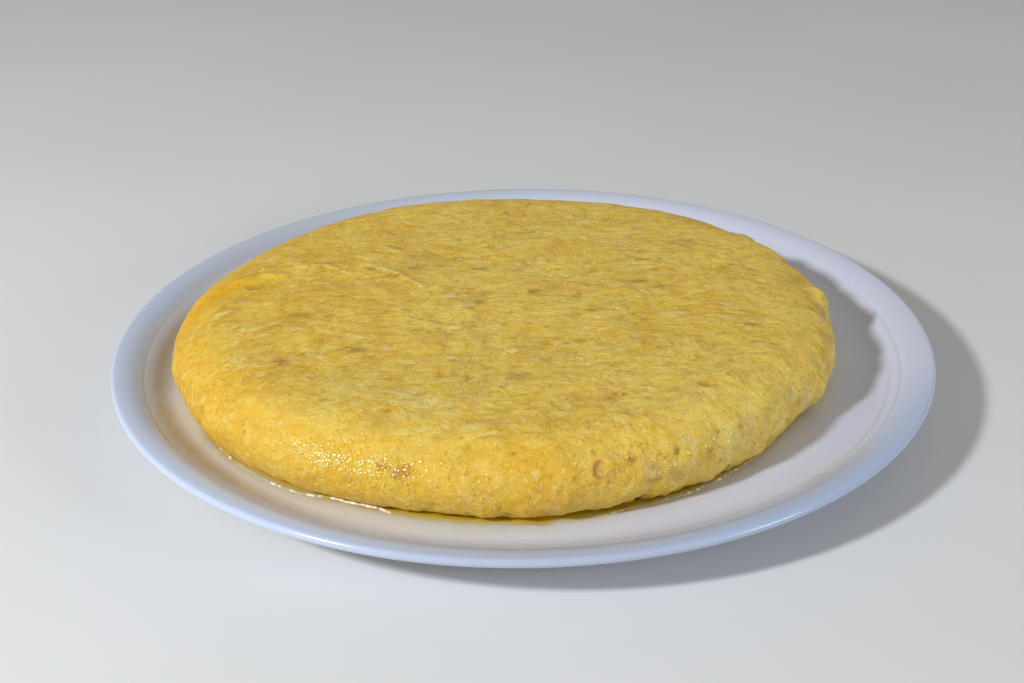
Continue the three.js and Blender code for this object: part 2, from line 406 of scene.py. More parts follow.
def glaze_material():
    material, shader, place = new_material("glazed white")
    distance = (place * (1.0, 1.0, 0.0)).length()
    radius, ahead = distance / MM, place / distance
    streaky = place.noise(9, 3.0, 0.6)
    speckle = place.noise(1.3, 2.0, 0.6).between(0.76, 0.84)

    def facing(degrees):
        """How nearly a place's heading from the middle is this one: 1 for the same heading."""
        return ahead.towards((math.cos(math.radians(degrees)), math.sin(math.radians(degrees)), 0.0))

    def ring(start, full, end, gone):
        """1 between two radii, with a smooth climb before them and after them."""
        return radius.between(start, full) - radius.between(end, gone)

    to_left, to_front = facing(LEFT), facing(FRONT)
    to_right_front, to_right_back = facing(RIGHT_FRONT), facing(RIGHT_BACK)
    # Painted light on the rim band: a bluer painted reflection, strongest on the right front edge,
    # paler at the right back, and a darker band at the front.
    rim_painted_reflection = to_right_front.between(0.82, 0.97) * (0.25 + radius.between(157.0, 162.0) * 0.55)
    band_painted_light = to_front.between(0.5, 0.95).mix(shade(205, 211, 224), shade(186, 193, 211))
    band_painted_light = to_right_back.between(0.3, 0.9).mix(band_painted_light, shade(217, 219, 235))
    band_painted_light = rim_painted_reflection.mix(band_painted_light, shade(180, 196, 222))

    # At the left and front left the well and the verge are painted warmer and browner: partly a film
    # of oil, partly painted shade and the egg's yellow reflection.
    well = 1 - radius.between(139.0, 149.0)
    verge = ring(140.0, 146.5, 147.6, 152.0) * (0.75 + streaky * 0.5)
    # Painted shade on the glaze just beside the egg's left side.
    painted_shade_beside_egg = ring(139.0, 142.5, 146.0, 150.0) * facing(180).between(0.955, 0.99)
    # The step holds a fine line, and there is a second one inside it at the right.
    step_line, inner_line = ring(150.9, 151.5, 151.7, 152.3), ring(146.9, 147.5, 147.7, 148.6)
    groove, outer = ring(151.9, 152.5, 153.8, 155.2), radius.between(152.5, 155.0)
    layers = [
        # Painted cool light: the well is bluer at the right front.
        (to_right_front.between(0.6, 0.95) * 0.5, shade(220, 219, 238)),
        (radius.between(146.0, 156.0), band_painted_light),
        (well * to_left.between(0.25, 0.98) * 0.75, shade(217, 206, 181)),
        (verge * to_left.between(0.62, 0.97) * 0.85, shade(184, 162, 126)),
        # Painted light: the verge is lighter and bluer at the right back, where it faces the lamp.
        (verge * to_right_back.between(0.55, 0.95) * 0.8, shade(228, 229, 244)),
        # Painted reflection: the outer band at the left is bluer.
        (outer * to_left.between(0.3, 0.9) * 0.85, shade(202, 212, 232)),
        # Painted light: the band just outside the step at the left is lighter, which lifts the step's
        # shade.
        (groove * to_left.between(0.5, 0.9) * 0.5, shade(230, 230, 232)),
        (painted_shade_beside_egg * 0.4, shade(140, 122, 92)),
        (verge * 0.03, shade(196, 186, 168)),
        (step_line * to_front.between(-0.2, 0.6) * 0.2, shade(154, 152, 150)),
        (inner_line * to_right_front.between(0.75, 0.95) * 0.24, shade(160, 160, 130)),
    ]
    for x, y, across, along, share, colour in PLATE_MARKS:
        gap = (place - (x * MM, y * MM, 0.0)) * (1 / across / MM, 1 / along / MM, 0.0)
        layers.append(((gap.length() + streaky * 0.8).between(1.4, 0.7) * share, colour))
    layers.append((speckle * 0.3, shade(176, 160, 140)))
    clean = place.noise(38, 3.0, 0.6).between(0.3, 0.7)
    look = layered(clean.mix(shade(218, 220, 228), shade(222, 224, 232)), layers)
    roughness = 0.13 + place.noise(14, 3.0, 0.6) * 0.08
    relief = place.noise(9.0, 2.0, 0.5)
    bump = place.node("ShaderNodeBump", None, {"Strength": 0.2, "Distance": 0.0002, "Height": relief})
    paint(shader, Base_Color=look, Roughness=roughness, Normal=bump, IOR=1.5)
    return material


plate = add_piece("dinner_plate", plate_points, plate_faces, glaze_material())
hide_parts("plate")

# %% [markdown]
# ## The omelette's outline
#
# The pan gave the round its outline and the turning left it a little uneven. The solid model
# has that outline already, so we measure it: a ray is cast at the belly's height from each of
# many headings towards the middle. Keeping only its slow waves takes out the solid model's flat
# facets.

# %% Measure the belly's outline from the solid model
OMELETTE_MIDDLE = np.array([-6.8, -9.4])
OMELETTE_BASE = omelette_low.z / MM
# Heights over the foot and insets from the belly, in mm. The foot's curve stops at FOOT_ANGLE.
BELLY_Z, THICKNESS = 11.34, 27.0
FOOT_INSET, SHOULDER_INSET = 10.6, 23.4
FOOT_ANGLE = -75.0
RAYS, SLOW_WAVES = 360, 36
FAR_OUT = 0.3  # in metres, well outside the omelette


def measured_outline():
    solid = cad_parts["omelette"].data
    corners = [tuple(v.co) for v in solid.vertices]
    tree = BVHTree.FromPolygons(corners, [tuple(p.vertices) for p in solid.polygons])
    middle = Vector((*OMELETTE_MIDDLE * MM, (OMELETTE_BASE + BELLY_Z) * MM))
    reach = []
    for heading in np.linspace(0, 2 * np.pi, RAYS, endpoint=False):
        way = Vector((math.cos(heading), math.sin(heading), 0))
        reach.append((tree.ray_cast(middle + way * FAR_OUT, -way)[0] - middle).length / MM)
    return np.array(reach)


outline_waves = np.fft.rfft(measured_outline())[: SLOW_WAVES + 1] / RAYS


def belly_at(heading):
    """How far the belly stands out from the omelette's middle, in mm, at headings in radians."""
    turns = np.exp(1j * np.outer(heading, np.arange(1, SLOW_WAVES + 1)))
    return outline_waves[0].real + 2 * (turns @ outline_waves[1:]).real


around = np.linspace(0, 2 * np.pi, 9)[:-1]
print("belly every 45 degrees, mm:", np.round(belly_at(around), 1))

# %% [markdown]
# ## A skin of even cells
#
# Fine relief needs faces of about one millimetre everywhere. Rings that shrink towards the
# middle would crowd their points there, so the flat of the top is a square grid pressed into a
# circle, which keeps its cells alike. Its edge continues as bands down the shoulder, over the
# belly and in to the foot.

# %% The omelette's smooth skin
TOP_CELLS, SIDE_ROWS = 204, 50
SETTLED = 0.22  # how far the skin is let down onto the glaze, in mm


def disc_grid(cells):
    """A square grid pressed into a circle of radius 1: its places and their numbers."""
    line = np.linspace(-1, 1, cells + 1)
    a, b = (grid.ravel() for grid in np.meshgrid(line, line, indexing="xy"))
    wide = np.abs(a) > np.abs(b)
    radius = np.where(wide, a, b)
    across = np.divide(np.where(wide, b, a), radius, out=np.zeros_like(a), where=radius != 0)
    angle = np.where(wide, across * np.pi / 4, np.pi / 2 - across * np.pi / 4)
    number = np.arange((cells + 1) ** 2).reshape(cells + 1, cells + 1)
    return np.stack([radius * np.cos(angle), radius * np.sin(angle)], 1), number


disc_places, disc_numbers = disc_grid(TOP_CELLS)
disc_heading, disc_reach = np.arctan2(*disc_places.T[::-1]), np.hypot(*disc_places.T)
# The grid's border points, anticlockwise from its lower left corner.
lower, right = disc_numbers[0, :-1], disc_numbers[:-1, -1]
border = np.concatenate([lower, right, disc_numbers[-1, :0:-1], disc_numbers[:0:-1, 0]])


def side_curve(angle):
    """How far in from the belly, and how far above it, the side is at angles in degrees."""
    turn, upper = np.radians(angle), np.greater(angle, 0)
    inset = np.where(upper, SHOULDER_INSET, FOOT_INSET) * (1 - np.cos(turn))
    return inset, np.where(upper, THICKNESS - BELLY_Z, BELLY_Z) * np.sin(turn)


def side_angles(rows):
    """Angles round the side, from the shoulder's top to the foot, about one length apart."""
    fine = np.linspace(90, FOOT_ANGLE, 2000)
    steps = np.hypot(*(np.diff(part) for part in side_curve(fine)))
    length = np.concatenate([[0], np.cumsum(steps)])
    return np.interp(np.linspace(0, length[-1], rows + 1)[1:], length, fine)


def smooth_skin():
    """Points of the skin without relief, with the angle down the side (90 is the flat top)."""
    heading = disc_heading[border]
    belly = belly_at(heading)
    top_reach = disc_reach * (belly_at(disc_heading) - SHOULDER_INSET)
    parts = [(disc_heading, top_reach, THICKNESS, 90.0)]
    for angle in side_angles(SIDE_ROWS):
        inset, lift = side_curve(angle)
        lift = -BELLY_Z if angle <= FOOT_ANGLE + 1e-6 else lift
        parts.append((heading, belly - inset, BELLY_Z + lift, angle))
    parts.append((heading, (belly - FOOT_INSET) * 0.9, 0.0, FOOT_ANGLE - 15))
    points, angles = [], []
    for heading, reach, height, angle in parts:
        place = ring_places(heading) * reach[:, None] + (*OMELETTE_MIDDLE, OMELETTE_BASE)
        points.append(place + (0, 0, height - SETTLED))
        angles.append(np.full(len(heading), angle))
    return np.concatenate(points), np.concatenate(angles)


def skin_faces():
    count, first = len(border), len(disc_places)
    below = first + np.arange(count)
    seam = np.column_stack([np.roll(border, -1), border, below, np.roll(below, -1)])
    side = np.array(band_faces(SIDE_ROWS + 1, count, first))[:, ::-1]
    last = first + SIDE_ROWS * count
    bottom = list(range(last, last + count))[::-1]
    return [*grid_faces(disc_numbers).tolist(), *seam.tolist(), *side.tolist(), bottom]


def normals_of(points, faces):
    """The outward direction at each point, from the faces round it."""
    quads = np.array([face for face in faces if len(face) == 4])
    a, b, c, d = points[quads].transpose(1, 0, 2)
    across, total = np.cross(c - a, d - b), np.zeros_like(points)
    for corner in range(4):
        np.add.at(total, quads[:, corner], across)
    return total / np.linalg.norm(total, axis=1, keepdims=True)


base_skin, side_angle = smooth_skin()
omelette_faces = skin_faces()
outward = normals_of(base_skin, omelette_faces)
print("omelette skin:", len(base_skin), "points;", len(omelette_faces), "faces")

# %% [markdown]
# ## Relief
#
# The face from the pan's floor has fine wrinkles that run across it, pulled sideways as it slid
# off the pan. They bend round the left edge. So the noise is sampled at places that are first
# shifted to follow that flow, and stretched along it. On top of the random relief come the
# features that make this one omelette: its folds, ridges, pits and bubbles, each at its place.

# %% Where the skin is flat top, and how its wrinkles flow
x_mm, y_mm, z_mm = base_skin.T
on_top = climb(side_angle, 22, 84)
on_side = 1 - on_top
skirt = climb(-side_angle, 5, 70)

# How far a wrinkle has drifted in y by where it crosses x.
drifted = -0.006 * np.minimum(x_mm + 70, 0) ** 2 - 0.0016 * np.maximum(x_mm - 40, 0) ** 2
flow = np.column_stack([x_mm, y_mm - drifted, z_mm])
slow = Grain(11)
drift = np.column_stack([slow.at(base_skin, 30), slow.at(base_skin + 90, 30), 0 * x_mm])
flow += drift * 4.0
print(f"flat top: {on_top.mean():.0%} of the skin's points")

# %% Wrinkles, lumps and pores
wrinkle, lump, pore = Grain(21), Grain(22), Grain(23)
long_wrinkles = wrinkle.at(flow, (8.5, 4.4, 5))
short_wrinkles = wrinkle.at(flow + 50, (4.4, 2.6, 3))
creases = 1 - 2.4 * np.abs(wrinkle.at(flow + 80, (13, 7.5, 8)))
fine = lump.at(base_skin, 1.9)
bubbles = climb(pore.at(base_skin, 3.6), 0.25, 0.75)
small_bubbles = climb(pore.at(base_skin + 40, 2.1), 0.35, 0.8)
top_relief = 0.55 * slow.at(base_skin, 62) + 0.36 * lump.at(base_skin, 15)
top_relief += 0.20 * long_wrinkles + 0.15 * short_wrinkles + 0.16 * np.maximum(creases, 0) ** 2
top_relief += 0.09 * fine
rightness = climb(x_mm, -60, 90)
side_relief = (0.24 + 0.30 * rightness) * lump.at(base_skin, 21)
side_relief += (0.26 + 0.44 * rightness) * lump.at(base_skin + 9, 9)
side_relief += (0.15 + 0.10 * rightness) * lump.at(base_skin, 4.3) + 0.09 * fine
side_relief -= 0.30 * bubbles + 0.20 * small_bubbles
relief = on_top * top_relief + on_side * side_relief
print("random relief, mm:", round(relief.min(), 2), "to", round(relief.max(), 2))

# %% The folds and ridges of the skin on top
# Each is a line seen from above, how wide its crest is and how high it stands, in mm. The last
# two are broad folds. They fade out down the side.
RIDGES = [
    ([(-128, -1), (-122, 4), (-117, 6.5), (-111, 10), (-105, 12.5), (-98, 14.2)], 2.6, 1.2),
    ([(-113, 15), (-107, 17), (-99, 19.5)], 1.2, -0.5),
    ([(-91, 22.4), (-82, 24.3), (-75.4, 19.8), (-70.5, 15.9)], 1.0, 0.5),
    ([(-64, 24.4), (-54.5, 18.5), (-46.7, 8.1), (-41, 1.5)], 1.4, 0.5),
    ([(-44, -29), (-35.3, -33.2), (-23.5, -37.4)], 1.0, 0.4),
    ([(-29.3, -10), (-23, -20.2), (-19.6, -23.5)], 2.2, 0.7),
    ([(-14, -119.5), (-1.4, -117), (8, -116.9)], 1.3, -0.5),
    ([(-116, 10), (-89, 26)], 8, 0.7),
    ([(-62, 26), (-37, 0), (-20, -22)], 7, 0.8),
]
upper_skin = climb(z_mm, 24, 33)
named = np.zeros(len(base_skin))
wobble = 0.4 * lump.at(base_skin, 6)
strength = 0.75 + 0.45 * lump.at(base_skin + 5, 9)
for line, half_width, height in RIDGES:
    named += height * strength * bell(distance_to_line(base_skin, line) + wobble, half_width)
named *= upper_skin
print(len(RIDGES), "ridges and folds, mm:", round(named.min(), 2), "to", round(named.max(), 2))

# %% Hair lines
# A crest or crack thinner than a mesh cell is kept as a distance: the skin stores how far each
# point is from the nearest line, with a sign for the side, and the material draws the line.
HAIR_LINES = [
    ([(-110.3, 12), (-102.6, 14.8), (-95.5, 15.2)], 0.7),
    ([(-96, 21), (-90.9, 22.4), (-82.1, 24.1), (-75.4, 19.8), (-70.5, 15.9)], 0.8),
    ([(-64, 24.4), (-54.5, 18.5), (-46.7, 8.1), (-41, 1.5)], 0.9),
    ([(-43.9, -29), (-35.3, -33.2), (-23.5, -37.4), (-10, -38.5)], 0.7),
    ([(-81.6, -52.2), (-79.4, -57.6), (-74.8, -59.6)], 0.6),
    ([(-58.2, 46.3), (-52.3, 42), (-47.3, 38.1), (-44, 38.5)], -0.9),
    ([(30.8, -71.7), (35.2, -67.7)], -0.4),
    ([(-16, -120.8), (-1.4, -117), (9.1, -116.9)], -0.4),
    ([(-120, -22), (-108, -19), (-97, -20)], 0.5),
    ([(-104, -36), (-92, -34), (-84, -36)], 0.5),
    ([(-12, 52), (-2, 50), (9, 51)], -0.5),
    ([(44, 30), (54, 27), (66, 28)], -0.5),
    ([(60, -30), (70, -27), (82, -28)], -0.5),
    ([(12, -52), (24, -56), (34, -55)], 0.5),
]


def hair_field():
    """The signed distance to the nearest hair line, and that line's strength there."""
    nearest, power = np.full(len(base_skin), 9.0), np.zeros(len(base_skin))
    for line, strength in HAIR_LINES:
        for number, (way, place, gap) in enumerate(parts_of(line, base_skin)):
            far, past = np.hypot(*gap.T), np.zeros(len(base_skin))
            side = np.sign(way[0] * gap[:, 1] - way[1] * gap[:, 0] + 1e-9)
            if number == 0:
                past = np.maximum(past, -place * np.hypot(*way))
            if number == len(line) - 2:
                past = np.maximum(past, (place - 1) * np.hypot(*way))
            closer = far < np.abs(nearest)
            nearest = np.where(closer, side * far, nearest)
            power = np.where(closer, strength * (1 - climb(past, 0, 2.5)), power)
    return nearest, power * upper_skin


hair, hair_power = hair_field()
print(len(HAIR_LINES), "hair lines")

# %% Pits and burst bubbles
# Each is a place on the skin in mm, how wide it is and how deep; some have a raised lip.
PITS = [
    (-61.5, 21.6, 41, 2, 0.9), (-29.7, -75, 41, 2.2, 1.1, 0.2), (-19.1, -77, 41, 1.8, 1.2, 0.2),
    (-24, -74.5, 41, 1.5, 0.6), (64.8, -84, 40, 2.2, 1, 0.1), (-108.9, 2.2, 40, 1.9, 0.7),
    (25.1, -129.3, 31.5, 2.4, 0.7, 0.5), (36, -124.4, 32.7, 2.2, 0.9, 0.2),
    (51.6, -117.8, 31.7, 1.4, 1.5, 0.1), (23, -124.9, 36, 1.2, 0.6, 0.1),
    (-4.3, -126.5, 37, 1.4, 0.5), (11.5, -134.7, 26.6, 1.4, 0.7, 0.1),
    (5.1, -135.1, 27.8, 1.1, 0.6, 0.1), (33.6, -129.1, 25.4, 1.3, 0.6, 0.1),
    (-117.3, -78.5, 27.8, 1.8, 0.8), (-47.9, -112.6, 39.5, 3, 0.4),
    # The lumps and notches of the foot, from the front round to the right. A lump is a pit of
    # negative depth.
    (-14, -133.4, 17.5, 4, -0.9), (-6.5, -134, 17, 1.6, 0.9), (0.5, -134.5, 19, 3.2, -0.8),
    (12, -134.2, 20.5, 4.2, -0.9), (6.5, -134, 16.5, 1.4, 0.8), (40, -122, 17, 3, 1),
    (52, -117, 17, 2.4, 1.2), (61, -112, 18, 4, -0.7), (70, -104.5, 17, 2.4, 1.3),
    (80, -97, 19, 4, -0.7), (87.2, -89.4, 18, 2.4, 2.6), (96.2, -78.4, 18, 2.4, 2.8),
    (104, -68, 21, 5, -1.2), (109, -58, 24, 7, -1.5),
    # The outline on the right: a knob, the notches either side of it and the swelling below.
    (99, 55, 38, 6, -1.6), (107, 40.5, 38, 8, -1.9), (114, 17, 38, 4.5, 0.5),
    (120.5, 3, 32, 5.5, -2.7), (113, 10, 39.5, 6.5, 1.3), (121, -7.5, 34, 4, 1),
    (120.5, -24, 31, 10, -0.9), (116.5, -47, 27, 4.5, 0.9),
]
uneven, hollow = 1 + 0.25 * lump.at(base_skin, 3), np.zeros(len(base_skin))


def add_pit(x, y, z, width, depth, lip=0):
    """Lowers the skin in a bowl, raises a ring round it, and marks the bowl as hollow."""
    gap = np.linalg.norm(base_skin - (x, y, z), axis=1) * uneven
    named[:] += lip * bell(gap - 1.5 * width, 0.55 * width) - depth * bell(gap, width)
    hollow[:] += bell(gap, width * 0.85) * min(depth, 1.0) * min(1.5 / width, 1.0)


for pit in PITS:
    add_pit(*pit)

# Smaller pits are scattered over the side, and a few on top.
SIDE_PITS, TOP_PITS = 200, 60
dice = np.random.default_rng(7)
on_the_side = np.flatnonzero((side_angle < 70) & (side_angle > -50))
for number in dice.choice(on_the_side, SIDE_PITS, replace=False):
    width = 0.7 + 1.1 * dice.random() ** 2
    add_pit(*base_skin[number], width, dice.uniform(0.15, 0.45) * width, dice.uniform(0, 0.12))
for number in dice.choice(np.flatnonzero(side_angle > 89), TOP_PITS, replace=False):
    width = dice.uniform(0.7, 1.6)
    add_pit(*base_skin[number], width, dice.uniform(0.15, 0.4) * width)
print("named relief, mm:", round(named.min(), 2), "to", round(named.max(), 2))

# %% The ragged foot
# Where the egg met the pan's corner it set in small scallops, deeper on the right.
heading_of = np.arctan2(y_mm - OMELETTE_MIDDLE[1], x_mm - OMELETTE_MIDDLE[0])


def degrees_from(degrees):
    """How far round each point is from a heading, in degrees."""
    return np.degrees(np.abs(np.angle(np.exp(1j * (heading_of - np.radians(degrees))))))


ring_place = ring_places(heading_of, 125)
scallop = Grain(31)
ragged = 0.7 * scallop.at(ring_place, 9) + 0.55 * scallop.at(ring_place + 7, 3.6)
ragged -= 0.6 * climb(scallop.at(ring_place + 77, 5), 0.25, 0.7)
facing_right = climb(np.cos(heading_of - math.radians(-35)), 0.5, 1.0)
foot_shift = skirt * ragged * (0.9 + 1.5 * facing_right)
# It stands out most at three headings in degrees: how wide each is, and how far out, in mm.
for degrees, half_width, shift in [(-141, 14, 1.3), (-43, 6, 1.7), (-33, 6, 1.2)]:
    foot_shift += shift * skirt * bell(degrees_from(degrees), half_width)

# Relief fades out where the egg rests on the plate, and nothing goes under the glaze.
resting = climb(z_mm, OMELETTE_BASE - 0.2, OMELETTE_BASE + 1.5)
skin = base_skin + outward * ((relief + named) * resting)[:, None]
skin += ring_places(heading_of) * foot_shift[:, None]
skin[:, 2] = np.maximum(skin[:, 2], FLOOR_Z + 0.04)
print("foot moves out, mm:", round(foot_shift.min(), 2), "to", round(foot_shift.max(), 2))

# %% [markdown]
# ## What changes over the skin
#
# Much of the colour follows how the omelette was made. Crests of wrinkles are drawn paler and
# troughs browner. A few spots caught the pan and browned. Slices of potato show through the egg
# as beige patches. Some is painted light: patches lightened where the skin lies in shade. All of
# these are worked out here, once for each point, and kept in the mesh as named values which the
# material reads.

# %% Spots at their places
# Each is a place on the skin in mm, its half size and its strength.
BROWNED = [
    (-89.2, -63.6, 40, 2.7, 1), (5.4, -3.7, 40, 1.9, 1.1), (-5.5, 66.9, 39.6, 1.4, 0.9),
    (26.6, -23, 39.8, 1.9, 0.9), (22.8, -7.3, 40, 1.5, 0.8), (10, -36.7, 40, 1.8, 0.7),
    (-6.7, -35.1, 40, 1.8, 0.7), (32, -93, 40.5, 3.4, 0.75), (19.4, -93.9, 40.7, 2.8, 0.7),
    (-48.8, -126, 32.3, 2.5, 0.9), (-41.5, -128.6, 31.2, 3.3, 0.9), (-60.5, -124.6, 26.5, 2, 0.6),
    (-53, -42, 40, 3, 0.65), (-15, 30.9, 40, 2.6, 0.7), (114.6, -4.1, 37.5, 2.4, 0.7),
    (-4.3, -126.5, 37, 1.6, 0.7), (74, -101, 31, 2, 0.8), (36, -124.4, 32.7, 2.2, 0.75),
    (-122, 3.6, 39, 2, 0.5), (-111, 10, 40.5, 2.6, 0.6),
]
STAINED = [
    (-62.3, -55.4, 40.5, 3.1, 1.1), (-109.5, 3, 40, 2.5, 1.1), (-86.5, -24.2, 40, 3.8, 0.8),
    (-89, -63.5, 40, 2.6, 0.8), (5, -6.5, 41, 2.6, 0.8), (30, -95, 40, 2.6, 0.9),
    (88, -38, 39.5, 2.8, 1), (22, -10, 41, 2.2, 0.9), (-17, -16, 41, 2.4, 1),
    (-62.5, 21, 41, 2.4, 1), (-53.5, 12, 41, 2.8, 1.1), (-44.5, 21, 40.3, 2.8, 1),
    (-16.5, 19.5, 40, 3, 1), (47.6, 4.4, 40.7, 3.2, 1), (55.6, -0.8, 40.9, 2.4, 1.1),
    (70.1, 45.5, 40.9, 3.4, 0.8), (-40.9, -39.5, 40, 2.8, 0.7), (-28.3, -43.2, 40, 3, 0.7),
    (-26.1, -64.5, 40, 2.4, 0.7), (-1.5, -77, 40.5, 3.8, 0.6), (-46.3, -86.2, 40, 3.6, 0.7),
    (-47.9, -112.6, 39.5, 2, 0.5), (64.5, -83.5, 40, 2.2, 0.9), (40, 72, 40, 2.6, 0.6),
    (88, 20, 40, 2.4, 0.7), (21.5, -49, 40, 2.6, 1), (-100, -62, 39, 2.2, 0.6),
    (-72, 2, 40, 2.6, 0.6), (42.8, -124.3, 29.1, 2, 0.8), (43.2, -125, 25, 1.8, 0.8),
]
PALED = [
    (-106.5, -60.5, 39.8, 4, 1), (-101, -66, 40, 3, 0.8), (-60.5, 23.5, 41, 2, 0.9),
    (-52, 15, 41.5, 1.6, 0.6), (-23.5, -20, 41, 3.2, 1.1), (-20, -29, 40, 2.4, 0.6),
    (-97, 15, 41, 3, 0.7), (-84, 24, 40.5, 2.4, 0.6), (-18, -79.5, 40.5, 2, 0.8),
    (-62, -84, 40, 5, 0.6), (-36, -96, 40, 6, 0.6), (22, -66, 40.5, 5, 0.6),
    (-118, -50, 38, 3, 0.6), (25.1, -129.3, 31.5, 2, 0.8), (30, -40, 40, 4, 0.6),
    (-4, -56, 40, 4, 0.6), (60, -52, 40, 4, 0.6), (-101, 18, 40, 2.2, 1), (-56, 21.5, 41, 2, 1),
    (58, -27, 40.5, 3, 1), (89, -56, 38, 3, 0.9), (-27, -63, 40.5, 2.8, 1), (81, -19, 40, 2.6, 1),
    (-86, -59.5, 40, 2.4, 0.9), (-61, 0, 41, 2.4, 0.9), (-28, -9, 41, 2.6, 1),
    (42, 46, 40.5, 3, 0.9), (52, 47, 40.5, 2.4, 0.8), (67, 49, 40.5, 2.8, 0.9),
    (-42, -89, 40, 3, 0.9),
]
POTATO = [
    (55.3, -114, 33.7, 2.9, 1), (57, -113.5, 30.5, 2.2, 0.9), (42.8, -124.3, 29.1, 2.2, 0.6),
    (41.6, -126, 25.4, 1.6, 0.6), (37.2, -103.1, 40.4, 2.8, 0.8), (98, -75, 31, 3.2, 0.9),
    (107, -56, 33, 2.4, 0.8), (84, -92, 30, 2.4, 0.8), (80, -96, 32, 4, 0.8),
    (72, -103, 27, 3.6, 0.8), (66, -109, 31, 2.2, 0.8), (-20, -134, 24, 2.2, 0.7),
    (-74, -119, 22, 2.4, 0.6), (9, -135, 22, 2.4, 0.7),
]


def spots(list_of_spots, seed, squash):
    """The strength of a list of patches at each point, with uneven edges."""
    edge = Grain(seed)
    uneven = 1 + 0.45 * edge.at(base_skin, 4) + 0.25 * edge.at(base_skin + 3, 2)
    total = np.zeros(len(base_skin))
    for x, y, z, width, strength in list_of_spots:
        gap = (base_skin - (x, y, z)) * squash
        total = np.maximum(total, strength * bell(np.linalg.norm(gap, axis=1) * uneven, width))
    return total


print("spots:", *map(len, (BROWNED, STAINED, PALED, POTATO)))

# %% Patches by chance, and all the marks together
# A burst bubble left a brown ring here.
SCAR = (25.1, -129.3, 31.5)
rightward, scattered = climb(x_mm, -20, 100), Grain(43)


def patches(points, size, low, high):
    """Patches scattered by chance: 1 inside them, 0 outside."""
    return climb(scattered.at(points, size), low, high)


browned = spots(BROWNED, 41, (0.70, 1.0, 1.0)) + 0.7 * patches(flow, (7, 4.5, 6), 0.66, 0.95)
from_scar = np.linalg.norm(base_skin - SCAR, axis=1)
scar_share = 0.8 + 0.5 * lump.at(base_skin, 3) - 0.14 * (x_mm - SCAR[0])
browned += bell(from_scar - 2.8, 0.85) * scar_share.clip(0)
stained = spots(STAINED, 44, (0.55, 1.0, 1.0))
stained += on_top * 0.75 * patches(flow + 130, (8, 4.5, 6), 0.45, 0.92)
stained += 0.3 * bell(np.hypot(x_mm + 6, (y_mm + 80) * 1.4), 16)
stained += on_side * (0.18 + 0.30 * rightward) * patches(base_skin + 77, (9, 9, 7), 0.34, 0.74)
paled = spots(PALED, 45, (0.7, 1.0, 1.0))
paled += on_top * 0.7 * patches(flow + 210, (9, 5, 6), 0.42, 0.90)
# Painted light as well: the side grows lighter towards the right, where it lies in shade.
paled += 0.35 * bell(np.hypot(x_mm + 48, (y_mm + 95) * 1.2), 20) + 0.25 * on_side * rightward
paled += on_side * (0.3 + 0.4 * rightward) * patches(base_skin + 177, (12, 12, 8), 0.20, 0.60)
potato = spots(POTATO, 42, (1.0, 1.0, 0.5))
potato += on_side * (0.35 + 0.55 * rightward) * patches(base_skin + 20, (6, 6, 10), 0.26, 0.56)
potato += on_top * 0.4 * patches(flow + 60, (9, 6, 9), 0.5, 0.78)
crest = on_top * (0.55 * long_wrinkles + 0.45 * short_wrinkles + 0.3 * np.maximum(creases, 0))
crest += on_side * (0.5 * lump.at(base_skin, 4.3) - 0.7 * bubbles - 0.4 * small_bubbles + 0.3)
# The fold at the left edge has a richer lip, and oil has wetted the side about FRONT_LEFT, a
# heading in degrees. RICH has places seen from above, with their half sizes and strengths.
FRONT_LEFT = -119
LIP = [(-131, -24), (-129.5, -14), (-126, -4), (-120.5, 1), (-116, 4.5), (-110.5, 9)]
LIP += [(-105, 12), (-98, 14)]
RICH = [
    (66, -20, 16, 0.6), (84, 16, 12, 0.35), (-86, -14, 28, 0.6), (-46, -98, 16, 0.5),
    (-62, -122, 14, 1), (-81, -108, 9, 0.9), (-102, -85, 4, 1), (0, -132, 20, 0.9),
]
leftward = climb(-(x_mm - OMELETTE_MIDDLE[0]) / 128, 0.1, 0.98)
rich = np.maximum(leftward * (1 - 0.4 * on_top), 0.45 * on_side * (1 - rightward))
for x, y, half_width, share in RICH:
    rich = np.maximum(rich, share * bell(np.hypot(x_mm - x, (y_mm - y) * 1.3), half_width))
lip = bell(distance_to_line(base_skin, LIP) + 1.2 * lump.at(base_skin, 7), 5.0)
wet = bell(degrees_from(FRONT_LEFT), 36) * climb(side_angle, -45, 5)
# Painted light: a lighter patch on the right side, where it lies in shade, and another at the front
# left.
sunny = bell(np.linalg.norm(base_skin - (77, -97, 29), axis=1), 26)
sunny += 0.8 * bell(np.hypot((x_mm + 62) * 0.7, y_mm + 90), 18)

marks = {"flow": flow * MM, "on_top": on_top, "skirt": skirt, "sunny": sunny, "blister": 0 * x_mm}
marks |= {"hair": hair, "hair_power": hair_power, "crest": np.clip(crest, -1, 1)}
for name, values in {"browned": browned, "stained": stained, "paled": paled}.items():
    marks[name] = np.clip(values, 0, 1.2)
for name, values in {"potato": potato, "hollow": hollow, "rich": rich, "lip": lip, "wet": wet}.items():
    marks[name] = np.clip(values, 0, 1)
for name, values in marks.items():
    if values.ndim == 1:
        print(f"{name}: mean {values.mean():.2f}, most {values.max():.2f}")

# %% [markdown]
# ### Cooked egg
#
# Set egg is a dense yellow with a little light passing through it, so the shader has a small
# constant share of subsurface light. Its colour is built in the order in which it came about:
# the egg's own yellow, then the wrinkles, then potato, browning and pits. Among them is painted
# light: painted highlights and shadows on the wrinkles, painted glints, lighter patches where the
# skin lies in shade and painted shade near the foot. Fine grain that is smaller than a mesh cell
# comes from noise in the shader, as colour and as bump.

